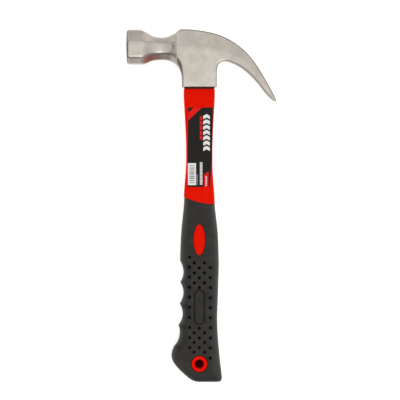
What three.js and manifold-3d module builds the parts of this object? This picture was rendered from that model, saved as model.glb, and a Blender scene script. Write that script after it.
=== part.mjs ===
import * as THREE from 'three';
import { mergeVertices } from 'three/addons/utils/BufferGeometryUtils.js';
import Module from 'manifold-3d';

// A claw hammer lying on its side, in millimetres. It is drawn with x from the handle's axis towards the
// claw, y from the butt end towards the head, and z from the plane that halves it. The group at the end
// sets it down with +Z up and the origin on the floor, under the middle of the whole tool.

// Whole tool
const overallLength = 320;
const bondGap = 0.2; // clearance all round between pieces that are bonded or moulded together
const seatGap = 0.1; // clearance between faces that seat on each other
const overrun = 5; // how far a cutting shape reaches past what it cuts
const weldDistance = 1e-5; // points nearer than this are one point

// Fibreglass core and the resin that holds it in the eye
const coreWidth = 18;
const coreThickness = 13;
const coreCorner = 4.5;
const coreClearance = 8.3; // between the hang eyelet and the core's foot
const resinWall = 2.2;
const resinSink = 4; // crest down to the resin's surface in the eye
const resinCap = 3; // resin over the end of the core

// Head: poll and neck
const strikeReach = 67; // handle's axis to the striking face
const pollLength = 16;
const pollHeight = 31.5;
const pollWidth = 31.5;
const pollSink = 0.6; // how far the poll's top lies under the crest of the head
const pollUpperEdge = 11.2; // top of the poll down to the upper edge of its side face
const rimRadius = 4.5;
const rimEdgeShare = 0.4; // how much of the rim's inset the edges between the poll's faces take
const neckHeight = 20.2;
const neckWidth = 20.4;
const neckSink = 7.2; // crest down to the top of the neck at its thinnest
const neckUpperEdge = 13.4; // crest down to the upper edge of the neck's side face
const upperSlope = 0.78; // width lost over each millimetre of the upper side faces
const underChamfer = 6.2; // lower side faces of the poll and neck, both ways
const cheekStep = 1; // length of the step from the neck's section out to the cheek's

// Head: cheek, socket and claw
const socketWall = 4.65; // steel around the eye, towards the poll and the claw
const cheekWall = 4.7; // steel around the eye, at the sides
const cheekOverhang = 3.65; // how far the crest reaches past the socket over the neck
const cheekEdge = 16.3; // crest down to the crease along the cheek
const crestBevel = 2.2; // width lost on each side from the crease up to the crest
const socketDrop = 52.4; // crest down to the socket's lower rim
const socketBevel = 1.2;
const socketBury = 2; // how far the cheek's body reaches down into the socket's, and that one up
const flankLift = 9; // socket's rim up to the foot of the bend under the neck
const flankDepth = 5; // how far the bend's body reaches into the neck
const clawReach = 70.2; // handle's axis to the tips of the claw
const clawDrop = 65.4; // crest down to the tips of the claw
const clawWidth = 31.5;
const clawRootDrop = 27.7; // crest down to the underside of the claw at its root
const clawRootFillet = 6.5;
const clawRootShare = 0.3; // share of the claw's back that runs over the cheek
const backFlatShare = 0.42; // share of the claw's reach at which its back leaves the crest's level
const backBowShare = 0.66; // share of the claw's reach at which its back bows out most
const backBowDrop = 0.23; // share of the claw's drop there
const clawBowRise = 6; // how far the claw's underside bows up out of a straight line
const rootBowReach = 10; // how far it bows towards the tips, near the root
const tipBowReach = 2; // and near the tips
const clawTipThickness = 2.6;
const clawTipSlant = 0.2; // how much the tips' end faces slant, as a share of their thickness
const clawCrease = 0.58; // share of the claw's thickness above the edge of its side face
const clawUnderEdge = 0.92; // and above the edge of its underside
const clawSpread = 0.6; // share of the claw over which it widens
const clawEdgeBevel = 0.8;
const slotLength = 46;
const slotRootWidth = 2.6;
const slotTipWidth = 9.4;

// Handle jacket: the sleeve above the grip, and the stem inside it
const jacketWall = 1.8; // over the core, inside the grip
const sleeveShell = 1.2; // the sleeve over the stem's size, at its waist
const sleeveTopFlare = 4.4; // width gained from the waist up to the head
const sleeveBaseFlare = 4; // width gained from the waist down to the grip
const sleeveWaistDrop = 61; // top of the sleeve down to its waist
const sleeveCorner = 2.6;
const sleeveLip = 4; // length of the sleeve's upper lip
const sleeveLipRound = 0.4; // how far each side draws in over it
const stemOverlap = 2.2; // jacket below the hang eyelet
const sealThickness = 1.2;
const sealInset = 0.5; // how far the seal lies inside the sleeve's outline

// Rubber grip
const gripLength = 161.4; // butt end to the grip's upper edge on the palm side
const gripEdgeRise = 6.6; // how much further that edge reaches on the finger side
const gripLip = 0.5; // how far the grip stands proud of the sleeve all round
const faceWall = 4.9; // rubber over the stem at the front and back
const palmWall = 7; // rubber over the stem on the palm side, at its fullest
const fingerWall = 6.7; // rubber over the stem at the crests between the fingers
const buttSwell = 2.55; // how much thicker each side is at the butt
const buttPalmFlare = 2.6;
const heelFlare = 8.1; // how far the heel reaches past the crests between the fingers
const heelHeight = 24; // butt end to the heel's furthest point
const heelFootReach = 7.1; // handle's axis to the start of the heel's slope
const heelFootRound = 1.4; // how much the heel draws in at the ends of its slope
const heelSlopeDip = 6.8; // how far the middle of the slope lies inside the heel's furthest point
const heelRounding = 5; // from the heel's furthest point to where it starts to draw in
const buttRounding = 5.5;
const gripCorner = 9.5;
const gripNeck = 51.45; // grip's upper edge down to the first finger groove
const heelLand = 7.95; // heel's furthest point up to the last finger groove
const grooveCount = 4;
const grooveDepth = 3;
const lastCrestReach = 4.6; // how far the crest below the last groove reaches past the upper ones
const nextCrestReach = 1.5;
const palmHollow = 1.5; // how far the palm side draws in opposite the last groove
const gripWaist = 0.9; // how far each side draws in below the grip's upper edge
const gripWaistDrop = 25; // grip's upper edge down to that waist

// Details set in the grip
const hangHeight = 16.4; // butt end to the hang hole
const hangHoleDiameter = 8.4;
const eyeletWall = 3.05;
const eyeletChamfer = 0.6;
const ovalDrop = 32.4; // grip's upper edge down to the middle of the oval inlays
const ovalWidth = 10.4;
const ovalLength = 27.7;
const ovalThickness = 1.6;
const trackShare = 0.456; // share of the way from the hang hole to the ovals
const trackWidth = 9.9; // a groove in the outline of a running track
const trackLength = 31.8;
const trackGroove = 1.1;
const trackDepth = 0.8;

// Label on the sleeve
const labelHeight = 71.8;
const labelMargin = 0.2; // between the label and the rounding of the sleeve's corners at the waist
const labelSlant = 2.2; // how much narrower it is at its foot
const labelSlantShare = 0.3; // share of its height over which it narrows
const labelDrop = 17; // top of the sleeve down to the label
const labelThickness = 0.2;

// What follows from those
const eyeWidth = coreWidth + 2 * resinWall;
const eyeThickness = coreThickness + 2 * resinWall;
const eyeCorner = coreCorner + resinWall;
const socketWidth = eyeWidth + 2 * socketWall;
const cheekWidth = eyeThickness + 2 * cheekWall;
const cheekReach = socketWidth / 2 + cheekOverhang;
const stemWidth = coreWidth + 2 * jacketWall;
const stemThickness = coreThickness + 2 * jacketWall;
const stemCorner = coreCorner + jacketWall;
const sleeveThickness = stemThickness + 2 * sleeveShell;
const sleeveWaistWidth = stemWidth + 2 * sleeveShell;
const sleeveTopWidth = sleeveWaistWidth + sleeveTopFlare;
const sleeveBaseWidth = sleeveWaistWidth + sleeveBaseFlare;
const gripThickness = stemThickness + 2 * faceWall;
const buttThickness = gripThickness + 2 * buttSwell;
const gripPalmReach = stemWidth / 2 + palmWall;
const gripFingerReach = stemWidth / 2 + fingerWall;
const eyeletDiameter = hangHoleDiameter + 2 * eyeletWall;
const stemFoot = hangHeight - eyeletDiameter / 2 - stemOverlap;
const coreFoot = hangHeight + eyeletDiameter / 2 + coreClearance;
const socketRim = overallLength - socketDrop;
const coreTop = overallLength - resinSink - resinCap;
const sealTop = socketRim - seatGap;
const sleeveTop = sealTop - sealThickness - seatGap;
const heelTop = heelHeight + heelLand;
const groovePitch = (gripLength - gripNeck - heelTop) / grooveCount;
const lastGroove = heelTop + groovePitch / 2;
const topGroove = lastGroove + (grooveCount - 1) * groovePitch;
const crestTop = topGroove + groovePitch / 2;
const ovalHeight = gripLength - ovalDrop;
const trackHeight = hangHeight + trackShare * (ovalHeight - hangHeight);

const steel = { color: 0xb9b1a7, roughness: 0.32, metalness: 1 };
const redPlastic = { color: 0xe51201, roughness: 0.3, metalness: 0 };
const blackRubber = { color: 0x35332f, roughness: 0.75, metalness: 0 };

const wasm = await Module();
wasm.setup();

function solidFrom(geometry) {
    geometry.deleteAttribute('normal');
    geometry.deleteAttribute('uv');
    const merged = mergeVertices(geometry, weldDistance);
    return new wasm.Manifold(new wasm.Mesh({
        numProp: 3,
        vertProperties: merged.getAttribute('position').array,
        triVerts: Uint32Array.from(merged.getIndex().array),
    }));
}

function piece(name, solid, look) {
    const { vertProperties, triVerts } = solid.getMesh();
    const geometry = new THREE.BufferGeometry();
    geometry.setAttribute('position', new THREE.BufferAttribute(vertProperties, 3));
    geometry.setIndex(new THREE.BufferAttribute(triVerts, 1));
    geometry.computeVertexNormals();
    const mesh = new THREE.Mesh(geometry, new THREE.MeshStandardMaterial(look));
    mesh.name = name;
    return mesh;
}

// A closed body through a row of rings, all with the same number of corners.
function loft(rings) {
    const sides = rings[0].length;
    const body = new THREE.CylinderGeometry(1, 1, 1, sides, rings.length - 1);
    const place = body.getAttribute('position');
    for (let i = 0; i < place.count; i++) {
        const level = Math.round((0.5 - place.getY(i)) * (rings.length - 1));
        const turn = Math.atan2(place.getX(i), place.getZ(i)) / (2 * Math.PI);
        const corner = rings[level][(Math.round(turn * sides) + sides) % sides];
        const isCapCentre = Math.hypot(place.getX(i), place.getZ(i)) < 0.5;
        const spot = isCapCentre ? middleOf(rings[level]) : corner;
        place.setXYZ(i, spot.x, spot.y, spot.z);
    }
    return solidFrom(body);
}

function middleOf(ring) {
    const sum = ring.reduce((total, corner) => total.add(corner), new THREE.Vector3());
    return sum.divideScalar(ring.length);
}

// A rounded rectangle across the handle at height y.
function handleRing(y, left, right, half, corner, steps = 4) {
    const ring = [];
    for (let quarter = 0; quarter < 4; quarter++) {
        const x = quarter < 2 ? right - corner : left + corner;
        const z = quarter % 3 === 0 ? half - corner : corner - half;
        for (let step = 0; step <= steps; step++) {
            const angle = (quarter + step / steps) * Math.PI / 2;
            ring.push(new THREE.Vector3(x + corner * Math.sin(angle), y, z + corner * Math.cos(angle)));
        }
    }
    return ring;
}

function bar(width, thickness, corner, foot, top) {
    return loft([top, foot].map((y) => handleRing(y, -width / 2, width / 2, thickness / 2, corner)));
}

function plate(shape, from, to, options = {}) {
    const geometry = new THREE.ExtrudeGeometry(shape, {
        depth: to - from, bevelEnabled: false, curveSegments: 12, ...options,
    });
    return solidFrom(geometry.translate(0, 0, from));
}

// A smooth line through [place, value] pairs in rising order of place.
function smoothLine(knots) {
    const steepness = (a, b) => (b[1] - a[1]) / (b[0] - a[0]);
    const slope = (i) => {
        if (i === 0 || i === knots.length - 1) return 0;
        const before = steepness(knots[i - 1], knots[i]);
        const after = steepness(knots[i], knots[i + 1]);
        return before * after > 0 ? 2 * before * after / (before + after) : 0;
    };
    return (place) => {
        const last = knots.length - 2;
        const i = Math.min(Math.max(knots.findIndex((knot) => knot[0] > place) - 1, 0), last);
        const k = place >= knots[last + 1][0] ? last : i;
        const span = knots[k + 1][0] - knots[k][0];
        const t = THREE.MathUtils.clamp((place - knots[k][0]) / span, 0, 1);
        const rise = knots[k + 1][1] - knots[k][1];
        const bend = (1 - t) * (slope(k) * span - rise) - t * (slope(k + 1) * span - rise);
        return knots[k][1] + t * rise + t * (1 - t) * bend;
    };
}

// How deep a round scoop between two places is at x.
function scoop(x, from, to, depth) {
    const half = Math.abs(to - from) / 2;
    const radius = (half * half + depth * depth) / (2 * depth);
    const off = Math.min(Math.abs(x - (from + to) / 2), half);
    return Math.sqrt(radius * radius - off * off) - (radius - depth);
}

// Head. A rib is a ring of eight corners across it: the outline's top and bottom points, the two edges of
// the side face between them, and the half widths at the top, the side face and the bottom.
function rib(top, upper, lower, bottom, halfTop, halfSide, halfBottom) {
    const corner = (point, z) => new THREE.Vector3(point.x, overallLength - point.y, z);
    return [
        corner(top, -halfTop), corner(top, halfTop), corner(upper, halfSide), corner(lower, halfSide),
        corner(bottom, halfBottom), corner(bottom, -halfBottom), corner(lower, -halfSide),
        corner(upper, -halfSide),
    ];
}

const down = (x, drop) => new THREE.Vector2(x, drop);
const neckStart = pollLength - strikeReach;
const neckMiddle = (neckStart - cheekReach) / 2;
const neckFloor = neckSink + neckHeight;

// Rounded rim, then the poll's full section. Each rib is inset by what the rim's arc takes off.
function pollRibs() {
    const ribs = [];
    const steps = 4;
    for (let step = 0; step <= steps; step++) {
        const angle = step / steps * Math.PI / 2;
        const x = -strikeReach + rimRadius * (1 - Math.cos(angle));
        ribs.push(pollRib(x, rimRadius * (1 - Math.sin(angle))));
    }
    return ribs;
}

function pollRib(x, inset) {
    const half = pollWidth / 2;
    const shrink = inset * rimEdgeShare;
    return rib(
        down(x, pollSink + inset), down(x, pollSink + pollUpperEdge + shrink),
        down(x, pollSink + pollHeight - underChamfer - shrink), down(x, pollSink + pollHeight - inset),
        half - upperSlope * pollUpperEdge - shrink, half - inset, half - underChamfer - shrink,
    );
}

function neckHalf(x) {
    const t = (x - neckStart) / (-cheekReach - neckStart);
    const straight = THREE.MathUtils.lerp(pollWidth, cheekWidth, t) / 2;
    const depth = (pollWidth + cheekWidth) / 4 - neckWidth / 2;
    return straight - scoop(x, neckStart, -cheekReach, depth);
}

function neckRib(x) {
    const t = (x - neckStart) / (-cheekReach - neckStart);
    const top = pollSink * (1 - t) + scoop(x, neckStart, -cheekReach, neckSink - pollSink / 2);
    const upper = THREE.MathUtils.lerp(pollSink + pollUpperEdge, neckUpperEdge, t);
    const rise = scoop(Math.min(x, neckMiddle), neckStart, -cheekReach, pollSink + pollHeight - neckFloor);
    const bottom = pollSink + pollHeight - rise;
    const half = neckHalf(x);
    return rib(
        down(x, top), down(x, upper), down(x, bottom - underChamfer), down(x, bottom),
        half - upperSlope * (upper - top), half, half - underChamfer,
    );
}

const clawBack = new THREE.CubicBezierCurve(
    down(-cheekReach, 0), down(clawReach * backFlatShare, 0),
    down(clawReach * backBowShare, clawDrop * backBowDrop), down(clawReach, clawDrop),
);
const clawRoot = down(socketWidth / 2 + clawRootFillet, clawRootDrop);
const clawTip = down(clawReach - clawTipThickness, clawDrop - clawTipSlant * clawTipThickness);
const rootPull = down(rootBowReach, -clawBowRise);
const tipPull = down(tipBowReach, -clawBowRise);
const clawFront = new THREE.CubicBezierCurve(
    clawRoot,
    clawRoot.clone().lerp(clawTip, 0.3).add(rootPull),
    clawRoot.clone().lerp(clawTip, 0.7).add(tipPull),
    clawTip,
);

function cheekRibs() {
    const ribs = [];
    const steps = 5;
    const floor = clawRootDrop + socketBury;
    for (let step = 0; step < steps; step++) {
        const top = clawBack.getPoint(clawRootShare * step / steps);
        ribs.push(rib(
            top, down(top.x, cheekEdge), down(top.x, floor - clawEdgeBevel), down(top.x, floor),
            cheekWidth / 2 - crestBevel, cheekWidth / 2, cheekWidth / 2 - clawEdgeBevel,
        ));
    }
    return ribs;
}

function clawRibs() {
    const ribs = [];
    const count = 14;
    for (let step = 0; step <= count; step++) {
        const t = step / count;
        const top = clawBack.getPoint(clawRootShare + (1 - clawRootShare) * t);
        const bottom = clawFront.getPoint(t);
        const spread = THREE.MathUtils.smoothstep(t, 0, clawSpread);
        const half = THREE.MathUtils.lerp(cheekWidth, clawWidth, spread) / 2;
        const bevel = THREE.MathUtils.lerp(crestBevel, clawEdgeBevel, t);
        ribs.push(rib(
            top, top.clone().lerp(bottom, clawCrease), top.clone().lerp(bottom, clawUnderEdge), bottom,
            half - bevel, half, half - clawEdgeBevel,
        ));
    }
    return ribs;
}

function headBody() {
    const neckRibs = [];
    const count = 14;
    for (let step = 0; step <= count; step++) {
        const share = (1 - Math.cos(step / count * Math.PI)) / 2;
        neckRibs.push(neckRib(THREE.MathUtils.lerp(neckStart, -cheekReach - cheekStep, share)));
    }
    return loft([...pollRibs(), ...neckRibs, ...cheekRibs(), ...clawRibs()].reverse());
}

// The bend from under the neck down into the socket's side.
function flank() {
    const foot = socketDrop - flankLift;
    const bend = new THREE.QuadraticBezierCurve(
        down(neckMiddle, neckFloor), down(-socketWidth / 2, neckFloor), down(-socketWidth / 2, foot),
    );
    const halfAt = (x) => (x < -cheekReach ? neckHalf(x) : cheekWidth / 2);
    const ribs = [];
    const count = 12;
    for (let step = 0; step <= count; step++) {
        const t = step / count;
        const edge = bend.getPoint(t);
        const along = bend.getTangent(t);
        const inward = down(along.y, -along.x);
        const chamfer = THREE.MathUtils.lerp(underChamfer, socketBevel, t);
        const inset = (depth) => edge.clone().addScaledVector(inward, depth);
        const half = halfAt(inset(chamfer).x);
        ribs.push(rib(
            inset(chamfer + flankDepth), inset(chamfer + flankDepth / 2), inset(chamfer), edge,
            half - crestBevel, half, halfAt(edge.x) - chamfer,
        ));
    }
    return loft(ribs.reverse());
}

function socket() {
    const side = socketWidth / 2;
    const outline = new THREE.Shape();
    const at = (x, drop) => [x, overallLength - drop];
    outline.moveTo(...at(-side, socketDrop));
    outline.lineTo(...at(side, socketDrop));
    outline.absarc(...at(side + clawRootFillet, clawRootDrop + clawRootFillet), clawRootFillet,
        Math.PI, Math.PI / 2, true);
    outline.lineTo(...at(side + clawRootFillet, cheekEdge + socketBury));
    outline.lineTo(...at(-side, cheekEdge + socketBury));
    const half = cheekWidth / 2;
    return plate(outline, socketBevel - half, half - socketBevel, {
        bevelEnabled: true, bevelThickness: socketBevel, bevelSize: socketBevel,
        bevelOffset: -socketBevel, bevelSegments: 1, curveSegments: 6,
    });
}

// The nail slot: a wedge along the claw's chord, opening towards the tips.
function nailSlot() {
    const tip = new THREE.Vector2(clawReach, overallLength - clawDrop);
    const along = new THREE.Vector2(clawRoot.x, overallLength - cheekEdge).sub(tip).normalize();
    const wedge = new THREE.Shape();
    const flare = (slotTipWidth - slotRootWidth) / slotLength;
    const past = 2 * overrun;
    const mouth = slotTipWidth / 2 + flare * past / 2;
    wedge.moveTo(-past, -mouth);
    wedge.lineTo(slotLength, -slotRootWidth / 2);
    wedge.absarc(slotLength, 0, slotRootWidth / 2, -Math.PI / 2, Math.PI / 2, false);
    wedge.lineTo(-past, mouth);
    const reach = 2 * clawDrop;
    const geometry = new THREE.ExtrudeGeometry(wedge, {
        depth: reach, bevelEnabled: false, curveSegments: 8,
    });
    geometry.translate(0, 0, -reach / 2).rotateX(Math.PI / 2).rotateZ(Math.atan2(along.y, along.x));
    return solidFrom(geometry.translate(tip.x, tip.y, 0));
}

function clawHead() {
    const eye = bar(eyeWidth, eyeThickness, eyeCorner, socketRim - overrun, overallLength + overrun);
    return headBody().add(flank()).add(socket()).subtract(eye).subtract(nailSlot());
}

function coreBore(foot, top) {
    return bar(coreWidth + 2 * bondGap, coreThickness + 2 * bondGap, coreCorner + bondGap, foot, top);
}

function eyeResin() {
    const foot = socketRim;
    const body = bar(eyeWidth - 2 * bondGap, eyeThickness - 2 * bondGap, eyeCorner - bondGap,
        foot, overallLength - resinSink);
    return body.subtract(coreBore(foot - overrun, coreTop + bondGap));
}

function eyeSeal() {
    const width = sleeveTopWidth - 2 * sealInset;
    const thickness = sleeveThickness - 2 * sealInset;
    const body = bar(width, thickness, sleeveCorner, sealTop - sealThickness, sealTop);
    return body.subtract(coreBore(sealTop - 2 * overrun, sealTop + overrun));
}

// The grip's upper edge is a curve that climbs towards the finger side.
function gripEdge(x) {
    const share = 0.5 - x / sleeveBaseWidth;
    return gripLength + gripEdgeRise * share * share;
}

// Everything above that edge, lifted by a gap.
function aboveGrip(gap) {
    const side = sleeveBaseWidth;
    const outline = new THREE.Shape();
    outline.moveTo(side / 2, overallLength);
    outline.lineTo(-side, overallLength);
    const count = 24;
    for (let step = 0; step <= count; step++) {
        const x = THREE.MathUtils.lerp(-side, side / 2, step / count);
        outline.lineTo(x, gripEdge(x) + gap);
    }
    outline.lineTo(side, gripEdge(side / 2) + gap);
    outline.lineTo(side, overallLength);
    return plate(outline, -buttThickness, buttThickness);
}

const sleeveHalfWidth = smoothLine([
    [gripLength, sleeveBaseWidth / 2],
    [sleeveTop - sleeveWaistDrop, sleeveWaistWidth / 2],
    [sleeveTop - sleeveWaistDrop / 2, sleeveWaistWidth / 2 + sleeveTopFlare / 6],
    [sleeveTop - sleeveLip, sleeveTopWidth / 2],
    [sleeveTop, sleeveTopWidth / 2 - sleeveLipRound],
]);

function sleeveRing(y) {
    const half = sleeveHalfWidth(y);
    return handleRing(y, -half, half, sleeveThickness / 2, sleeveCorner);
}

function handleJacket() {
    const rings = [];
    const count = 16;
    for (let step = 0; step <= count; step++) {
        rings.push(sleeveRing(THREE.MathUtils.lerp(sleeveTop, gripLength - overrun, step / count)));
    }
    const sleeve = loft(rings).intersect(aboveGrip(seatGap));
    const stem = bar(stemWidth, stemThickness, stemCorner, stemFoot, sleeveTop - sleeveWaistDrop);
    return sleeve.add(stem)
        .subtract(coreBore(coreFoot - bondGap, sleeveTop + overrun))
        .subtract(eyeletBody(eyeletDiameter / 2 + bondGap, 0, stemThickness));
}

function fibreglassCore() {
    return bar(coreWidth, coreThickness, coreCorner, coreFoot, coreTop);
}

// Grip. The palm and finger edges are read at height y; the butt's end is rounded.
function buttRound(y) {
    const into = Math.max(buttRounding - y, 0);
    return buttRounding - Math.sqrt(buttRounding * buttRounding - into * into);
}

const heelTopReach = gripFingerReach + lastCrestReach;
const palmLine = smoothLine([
    [0, gripPalmReach + buttPalmFlare], [buttRounding, gripPalmReach + buttPalmFlare],
    [heelHeight + heelLand / 2, gripPalmReach], [lastGroove + groovePitch / 2, gripPalmReach - palmHollow],
    [crestTop, gripPalmReach], [gripLength - gripWaistDrop, gripPalmReach - gripWaist],
    [gripLength, sleeveBaseWidth / 2 + gripLip],
]);
const fingerLine = smoothLine([
    [heelTop, heelTopReach],
    [lastGroove, gripFingerReach + (lastCrestReach + nextCrestReach) / 2],
    [lastGroove + groovePitch / 2, gripFingerReach + nextCrestReach],
    [topGroove - groovePitch, gripFingerReach],
    [crestTop, gripFingerReach],
    [gripLength - gripWaistDrop, gripFingerReach - gripWaist],
    [gripLength + gripEdgeRise, sleeveBaseWidth / 2 + gripLip],
]);
const heelReach = gripFingerReach + heelFlare;
const heelLine = smoothLine([
    [0, heelFootReach - heelFootRound], [heelFootRound, heelFootReach],
    [heelHeight / 2, heelReach - heelSlopeDip], [heelHeight - heelRounding, heelReach - heelFootRound],
    [heelHeight, heelReach], [heelHeight + heelRounding, heelReach - heelFootRound],
    [heelTop, heelTopReach],
]);

function fingerReach(y) {
    const smooth = y < heelTop ? heelLine(y) : fingerLine(y);
    const nearest = Math.round((topGroove - y) / groovePitch);
    const groove = THREE.MathUtils.clamp(nearest, 0, grooveCount - 1);
    const off = (y - (topGroove - groove * groovePitch)) / (groovePitch / 2);
    return smooth - grooveDepth * Math.max(1 - off * off, 0);
}

const gripHalf = smoothLine([
    [0, buttThickness / 2], [hangHeight, buttThickness / 2],
    [heelTop, buttThickness / 2 - buttSwell / 2], [lastGroove + groovePitch, gripThickness / 2],
    [crestTop, gripThickness / 2], [gripLength - gripWaistDrop, gripThickness / 2 - gripWaist],
    [gripLength, sleeveThickness / 2 + gripLip],
]);

function gripRing(y) {
    const round = buttRound(y);
    const half = gripHalf(y) - round;
    return handleRing(y, -fingerReach(y), palmLine(y) - round, half, gripCorner, 6);
}

function gripBody() {
    const heights = [];
    const roundSteps = 5;
    for (let step = 0; step < roundSteps; step++) {
        heights.push(buttRounding * (1 - Math.cos(step / roundSteps * Math.PI / 2)));
    }
    const last = gripLength + gripEdgeRise + overrun;
    const count = 46;
    for (let step = 0; step <= count; step++) {
        heights.push(THREE.MathUtils.lerp(buttRounding, last, step / count));
    }
    return loft(heights.reverse().map(gripRing)).subtract(aboveGrip(0));
}

function eyeletBody(radius, bore, length) {
    const half = length / 2;
    const lip = bore === 0 ? 0 : bore + eyeletChamfer;
    const wall = bore === 0
        ? [[0, -half], [radius, -half], [radius, half], [0, half]]
        : [[bore, eyeletChamfer - half], [lip, -half], [radius, -half], [radius, half], [lip, half],
            [bore, half - eyeletChamfer], [bore, eyeletChamfer - half]];
    const profile = wall.map(([x, y]) => new THREE.Vector2(x, y));
    const geometry = new THREE.LatheGeometry(profile, 40).rotateX(Math.PI / 2);
    return solidFrom(geometry.translate(0, hangHeight, 0));
}

const eyeletLength = 2 * gripHalf(hangHeight) - 2 * seatGap;

function hangEyelet() {
    return eyeletBody(eyeletDiameter / 2, hangHoleDiameter / 2, eyeletLength);
}

// An oval plate under the grip's front face. Its outer face follows the grip.
function ovalInlay(growth, depth) {
    const shape = new THREE.Shape();
    shape.absellipse(0, ovalHeight, ovalWidth / 2 + growth, ovalLength / 2 + growth, 0, 2 * Math.PI);
    const inner = gripHalf(ovalHeight) - depth;
    const geometry = new THREE.ExtrudeGeometry(shape, {
        depth: 1, bevelEnabled: false, curveSegments: 24,
    });
    const place = geometry.getAttribute('position');
    for (let i = 0; i < place.count; i++) {
        const outer = gripHalf(place.getY(i)) + (growth > 0 ? overrun : 0);
        place.setZ(i, place.getZ(i) > 0.5 ? outer : inner);
    }
    return solidFrom(geometry);
}

function trackOutline(width, length) {
    const radius = width / 2;
    const straight = length / 2 - radius;
    const shape = new THREE.Shape();
    shape.absarc(0, trackHeight + straight, radius, 0, Math.PI, false);
    shape.absarc(0, trackHeight - straight, radius, Math.PI, 2 * Math.PI, false);
    return shape;
}

function trackCut() {
    const outline = trackOutline(trackWidth, trackLength);
    outline.holes.push(trackOutline(trackWidth - 2 * trackGroove, trackLength - 2 * trackGroove));
    return plate(outline, gripHalf(trackHeight) - trackDepth, gripHalf(trackHeight) + overrun);
}

const toBack = (solid) => solid.mirror([0, 0, 1]);

function rubberGrip() {
    const stemHole = bar(stemWidth + 2 * bondGap, stemThickness + 2 * bondGap, stemCorner + bondGap,
        stemFoot - bondGap, gripLength + gripEdgeRise + 2 * overrun);
    const cuts = [ovalInlay(bondGap, ovalThickness + bondGap), trackCut()];
    const hangBore = eyeletBody(eyeletDiameter / 2 + bondGap, 0, buttThickness + overrun);
    let body = gripBody().subtract(stemHole).subtract(hangBore);
    for (const cut of cuts) {
        body = body.subtract(cut).subtract(toBack(cut));
    }
    return body;
}

function frontLabel() {
    const top = sleeveTop - labelDrop;
    const foot = top - labelHeight;
    const side = sleeveWaistWidth / 2 - sleeveCorner - labelMargin;
    const shape = new THREE.Shape();
    shape.moveTo(-side, top);
    shape.lineTo(-side, foot);
    shape.lineTo(side - labelSlant, foot);
    shape.lineTo(side, foot + labelHeight * labelSlantShare);
    shape.lineTo(side, top);
    const face = sleeveThickness / 2 + seatGap / 2;
    return plate(shape, face, face + labelThickness);
}

const inlay = ovalInlay(0, ovalThickness);
const hammer = new THREE.Group();
hammer.add(
    piece('claw_head', clawHead(), steel),
    piece('fibreglass_core', fibreglassCore(), { color: 0xd9c37a, roughness: 0.5, metalness: 0 }),
    piece('eye_resin', eyeResin(), { color: 0x3a2a22, roughness: 0.4, metalness: 0 }),
    piece('eye_seal', eyeSeal(), { color: 0x2a1410, roughness: 0.8, metalness: 0 }),
    piece('handle_jacket', handleJacket(), redPlastic),
    piece('rubber_grip', rubberGrip(), blackRubber),
    piece('oval_inlay_front', inlay, redPlastic),
    piece('oval_inlay_back', toBack(inlay), redPlastic),
    piece('hang_eyelet', hangEyelet(), redPlastic),
    piece('label_front', frontLabel(), { color: 0x2b2825, roughness: 0.4, metalness: 0 }),
);

// It rests on the widest of its poll, its claw and its butt.
const restHeight = Math.max(pollWidth, clawWidth, buttThickness) / 2;
hammer.position.set((strikeReach - clawReach) / 2, -overallLength / 2, restHeight);

export default hammer;
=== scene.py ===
import math

import bpy
import numpy as np
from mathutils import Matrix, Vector


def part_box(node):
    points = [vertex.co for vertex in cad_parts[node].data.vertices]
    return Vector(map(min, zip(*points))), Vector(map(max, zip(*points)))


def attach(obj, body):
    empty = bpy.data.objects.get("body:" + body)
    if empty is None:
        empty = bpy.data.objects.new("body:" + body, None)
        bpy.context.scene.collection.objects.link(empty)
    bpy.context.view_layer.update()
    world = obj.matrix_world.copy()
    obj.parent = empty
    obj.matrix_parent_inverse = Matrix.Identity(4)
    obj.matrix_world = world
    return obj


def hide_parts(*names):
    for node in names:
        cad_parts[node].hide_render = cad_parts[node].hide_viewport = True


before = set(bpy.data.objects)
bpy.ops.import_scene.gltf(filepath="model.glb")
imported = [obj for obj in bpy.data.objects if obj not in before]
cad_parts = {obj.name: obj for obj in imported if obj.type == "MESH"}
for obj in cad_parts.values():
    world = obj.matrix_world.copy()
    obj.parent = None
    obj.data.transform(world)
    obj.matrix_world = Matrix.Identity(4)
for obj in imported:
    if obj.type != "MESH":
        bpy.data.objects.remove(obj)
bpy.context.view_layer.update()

# The tool is drawn in millimetres: x from the handle's axis towards the claw, y from the butt end
# towards the head, z from the plane that halves it. placed() brings that into the shared frame.
coreLow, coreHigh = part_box("fibreglass_core")
gripLow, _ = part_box("rubber_grip")
headLow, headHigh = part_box("claw_head")
origin = np.array([(coreLow.x + coreHigh.x) / 2, gripLow.y, (headLow.z + headHigh.z) / 2])
mm = 0.001
toolLength = (headHigh.y - gripLow.y) / mm
tipReach = (headHigh.x - origin[0]) / mm
strikeReach = (origin[0] - headLow.x) / mm


def placed(points):
    return np.asarray(points, float) * mm + origin


def nodeSize(node):
    low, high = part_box(node)
    return [(high[i] - low[i]) / mm for i in range(3)]


def nodeSpan(node, axis):
    low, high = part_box(node)
    return [(edge[axis] - origin[axis]) / mm for edge in (low, high)]


def smoothMax(a, b, blend):
    near = np.maximum(blend - np.abs(a - b), 0) / blend
    return np.maximum(a, b) + near * near * blend / 4


def smoothMin(a, b, blend):
    return -smoothMax(-a, -b, blend)


def allOf(parts, blend):
    total = parts[0]
    for part in parts[1:]:
        total = smoothMax(total, part, blend)
    return total


def ease(value, start, end):
    t = np.clip((value - start) / (end - start), 0, 1)
    return t * t * (3 - 2 * t)


def mixed(a, b, share):
    return a + (b - a) * share


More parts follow.
